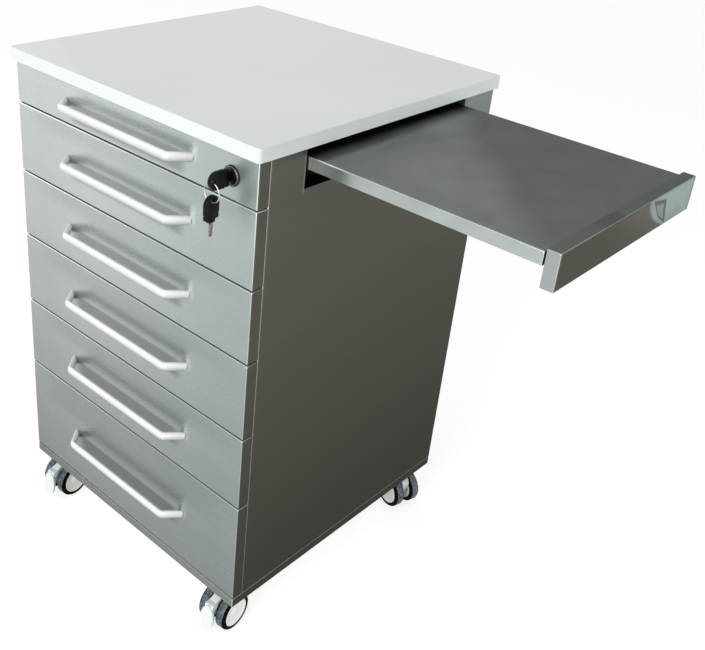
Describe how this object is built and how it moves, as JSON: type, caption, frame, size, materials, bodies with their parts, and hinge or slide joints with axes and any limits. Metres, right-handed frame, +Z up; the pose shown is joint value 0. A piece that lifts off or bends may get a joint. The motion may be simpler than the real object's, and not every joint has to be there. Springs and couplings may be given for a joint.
{
  "type": "mobile clinic drawer cabinet",
  "caption": "White-topped mobile clinic cabinet: full-width drawers with bow handles, a cam lock and key, a tray that pulls out to the side, and twin-wheel castors.",
  "frame": {"origin": "floor level, under the centre of the cabinet body", "axes": "+X to the cabinet's right, where the tray pulls out; -Y to the front, where the drawers open; +Z up"},
  "size_m": [0.837, 0.534, 0.79],
  "materials": {
    "front_coat": "satin powder coat",
    "carcass_coat": "brushed satin coat",
    "worktop_white": "polished solid surface",
    "handle_satin": "satin",
    "tray_coat": "satin",
    "tray_front_polish": "polished",
    "slide_zinc": "bright zinc",
    "rail_black": "matt",
    "screw_zinc": "bright zinc",
    "castor_steel": "bright zinc",
    "castor_plastic": "moulded",
    "castor_wheel": "tyre with moulded hub",
    "lock_metal": "polished",
    "lock_black": "gloss",
    "key_head": "moulded head on a steel blade"
  },
  "bodies": {
    "cabinet": {"worktop": "worktop_white", "side_panel_left": "carcass_coat", "side_panel_right": "carcass_coat", "back_panel": "carcass_coat", "base_pan": "front_coat", "top_frame": "carcass_coat", "slide_posts": "carcass_coat", "slide_cabinet_members": "slide_zinc", "tray_rails": "rail_black", "castor_plates": "castor_steel", "carcass_screws": "screw_zinc"},
    "drawer_1": {"drawer_1_front": "front_coat", "drawer_1_box": "front_coat", "drawer_1_handle": "handle_satin", "drawer_1_runners": "slide_zinc", "lock_housing": "lock_black"},
    "drawer_2": {"drawer_2_front": "front_coat", "drawer_2_box": "front_coat", "drawer_2_handle": "handle_satin", "drawer_2_runners": "slide_zinc"},
    "drawer_2_mids": {"drawer_2_slide_mids": "slide_zinc"},
    "drawer_3": {"drawer_3_front": "front_coat", "drawer_3_box": "front_coat", "drawer_3_handle": "handle_satin", "drawer_3_runners": "slide_zinc"},
    "drawer_3_mids": {"drawer_3_slide_mids": "slide_zinc"},
    "drawer_4": {"drawer_4_front": "front_coat", "drawer_4_box": "front_coat", "drawer_4_handle": "handle_satin", "drawer_4_runners": "slide_zinc"},
    "drawer_4_mids": {"drawer_4_slide_mids": "slide_zinc"},
    "drawer_5": {"drawer_5_front": "front_coat", "drawer_5_box": "front_coat", "drawer_5_handle": "handle_satin", "drawer_5_runners": "slide_zinc"},
    "drawer_5_mids": {"drawer_5_slide_mids": "slide_zinc"},
    "drawer_6": {"drawer_6_front": "front_coat", "drawer_6_box": "front_coat", "drawer_6_handle": "handle_satin", "drawer_6_runners": "slide_zinc"},
    "drawer_6_mids": {"drawer_6_slide_mids": "slide_zinc"},
    "tray": {"tray_pan": "tray_coat", "tray_front": "tray_front_polish", "tray_runners": "slide_zinc"},
    "lock": {"lock_plug": "lock_metal", "lock_cam": "screw_zinc"},
    "key": {"key": "key_head"},
    "key_ring": {"key_ring": "lock_metal"},
    "castor_front_left": {"castor_front_left_hood": "castor_plastic"},
    "wheels_front_left": {"castor_front_left_wheels": "castor_wheel"},
    "brake_front_left": {"castor_front_left_brake": "castor_plastic"},
    "castor_front_right": {"castor_front_right_hood": "castor_plastic"},
    "wheels_front_right": {"castor_front_right_wheels": "castor_wheel"},
    "brake_front_right": {"castor_front_right_brake": "castor_plastic"},
    "castor_rear_left": {"castor_rear_left_hood": "castor_plastic"},
    "wheels_rear_left": {"castor_rear_left_wheels": "castor_wheel"},
    "castor_rear_right": {"castor_rear_right_hood": "castor_plastic"},
    "wheels_rear_right": {"castor_rear_right_wheels": "castor_wheel"}
  },
  "joints": [
    {"name": "drawer_1_slide", "type": "slide", "parent": "cabinet", "child": "drawer_1", "axis": [0, -1, 0], "range_m": [0, 0.32]},
    {"name": "drawer_2_slide", "type": "slide", "parent": "cabinet", "child": "drawer_2", "axis": [0, -1, 0], "range_m": [0, 0.42]},
    {"name": "drawer_2_mid_slide", "type": "slide", "parent": "cabinet", "child": "drawer_2_mids", "axis": [0, -1, 0], "range_m": [0, 0.21]},
    {"name": "drawer_3_slide", "type": "slide", "parent": "cabinet", "child": "drawer_3", "axis": [0, -1, 0], "range_m": [0, 0.42]},
    {"name": "drawer_3_mid_slide", "type": "slide", "parent": "cabinet", "child": "drawer_3_mids", "axis": [0, -1, 0], "range_m": [0, 0.21]},
    {"name": "drawer_4_slide", "type": "slide", "parent": "cabinet", "child": "drawer_4", "axis": [0, -1, 0], "range_m": [0, 0.42]},
    {"name": "drawer_4_mid_slide", "type": "slide", "parent": "cabinet", "child": "drawer_4_mids", "axis": [0, -1, 0], "range_m": [0, 0.21]},
    {"name": "drawer_5_slide", "type": "slide", "parent": "cabinet", "child": "drawer_5", "axis": [0, -1, 0], "range_m": [0, 0.42]},
    {"name": "drawer_5_mid_slide", "type": "slide", "parent": "cabinet", "child": "drawer_5_mids", "axis": [0, -1, 0], "range_m": [0, 0.21]},
    {"name": "drawer_6_slide", "type": "slide", "parent": "cabinet", "child": "drawer_6", "axis": [0, -1, 0], "range_m": [0, 0.42]},
    {"name": "drawer_6_mid_slide", "type": "slide", "parent": "cabinet", "child": "drawer_6_mids", "axis": [0, -1, 0], "range_m": [0, 0.21]},
    {"name": "tray_slide", "type": "slide", "parent": "cabinet", "child": "tray", "axis": [1, 0, 0], "range_m": [-0.337, 0]},
    {"name": "lock_turn", "type": "hinge", "parent": "drawer_1", "child": "lock", "pos_m": [0.201, -0.245, 0.7405], "axis": [0, 1, 0], "range_deg": [0, 90]},
    {"name": "key_withdraw", "type": "slide", "parent": "lock", "child": "key", "axis": [0, -1, 0], "range_m": [0, 0.03]},
    {"name": "key_ring_swing", "type": "hinge", "parent": "key", "child": "key_ring", "pos_m": [0.201, -0.2765, 0.73932], "axis": [1, 0, 0], "range_deg": [-25, 10]},
    {"name": "castor_front_left_swivel", "type": "hinge", "parent": "cabinet", "child": "castor_front_left", "pos_m": [-0.202, -0.202, 0.06], "axis": [0, 0, 1], "continuous": true},
    {"name": "wheels_front_left_roll", "type": "hinge", "parent": "castor_front_left", "child": "wheels_front_left", "pos_m": [-0.20043, -0.21993, 0.03], "axis": [0.9962, 0.0872, 0], "continuous": true},
    {"name": "brake_front_left_lift", "type": "hinge", "parent": "castor_front_left", "child": "brake_front_left", "pos_m": [-0.19817, -0.24583, 0.05], "axis": [-0.9962, -0.0872, 0], "range_deg": [0, 22]},
    {"name": "castor_front_right_swivel", "type": "hinge", "parent": "cabinet", "child": "castor_front_right", "pos_m": [0.202, -0.202, 0.06], "axis": [0, 0, 1], "continuous": true},
    {"name": "wheels_front_right_roll", "type": "hinge", "parent": "castor_front_right", "child": "wheels_front_right", "pos_m": [0.20357, -0.21993, 0.03], "axis": [0.9962, 0.0872, 0], "continuous": true},
    {"name": "brake_front_right_lift", "type": "hinge", "parent": "castor_front_right", "child": "brake_front_right", "pos_m": [0.20583, -0.24583, 0.05], "axis": [-0.9962, -0.0872, 0], "range_deg": [0, 22]},
    {"name": "castor_rear_left_swivel", "type": "hinge", "parent": "cabinet", "child": "castor_rear_left", "pos_m": [-0.202, 0.202, 0.06], "axis": [0, 0, 1], "continuous": true},
    {"name": "wheels_rear_left_roll", "type": "hinge", "parent": "castor_rear_left", "child": "wheels_rear_left", "pos_m": [-0.21891, 0.19584, 0.03], "axis": [0.342, -0.9397, 0], "continuous": true},
    {"name": "castor_rear_right_swivel", "type": "hinge", "parent": "cabinet", "child": "castor_rear_right", "pos_m": [0.202, 0.202, 0.06], "axis": [0, 0, 1], "continuous": true},
    {"name": "wheels_rear_right_roll", "type": "hinge", "parent": "castor_rear_right", "child": "wheels_rear_right", "pos_m": [0.21939, 0.19734, 0.03], "axis": [0.2588, 0.9659, 0], "continuous": true}
  ],
  "couplings": [
    {"joint": "drawer_2_mid_slide", "follows": "drawer_2_slide", "ratio": 0.5},
    {"joint": "drawer_3_mid_slide", "follows": "drawer_3_slide", "ratio": 0.5},
    {"joint": "drawer_4_mid_slide", "follows": "drawer_4_slide", "ratio": 0.5},
    {"joint": "drawer_5_mid_slide", "follows": "drawer_5_slide", "ratio": 0.5},
    {"joint": "drawer_6_mid_slide", "follows": "drawer_6_slide", "ratio": 0.5}
  ]
}
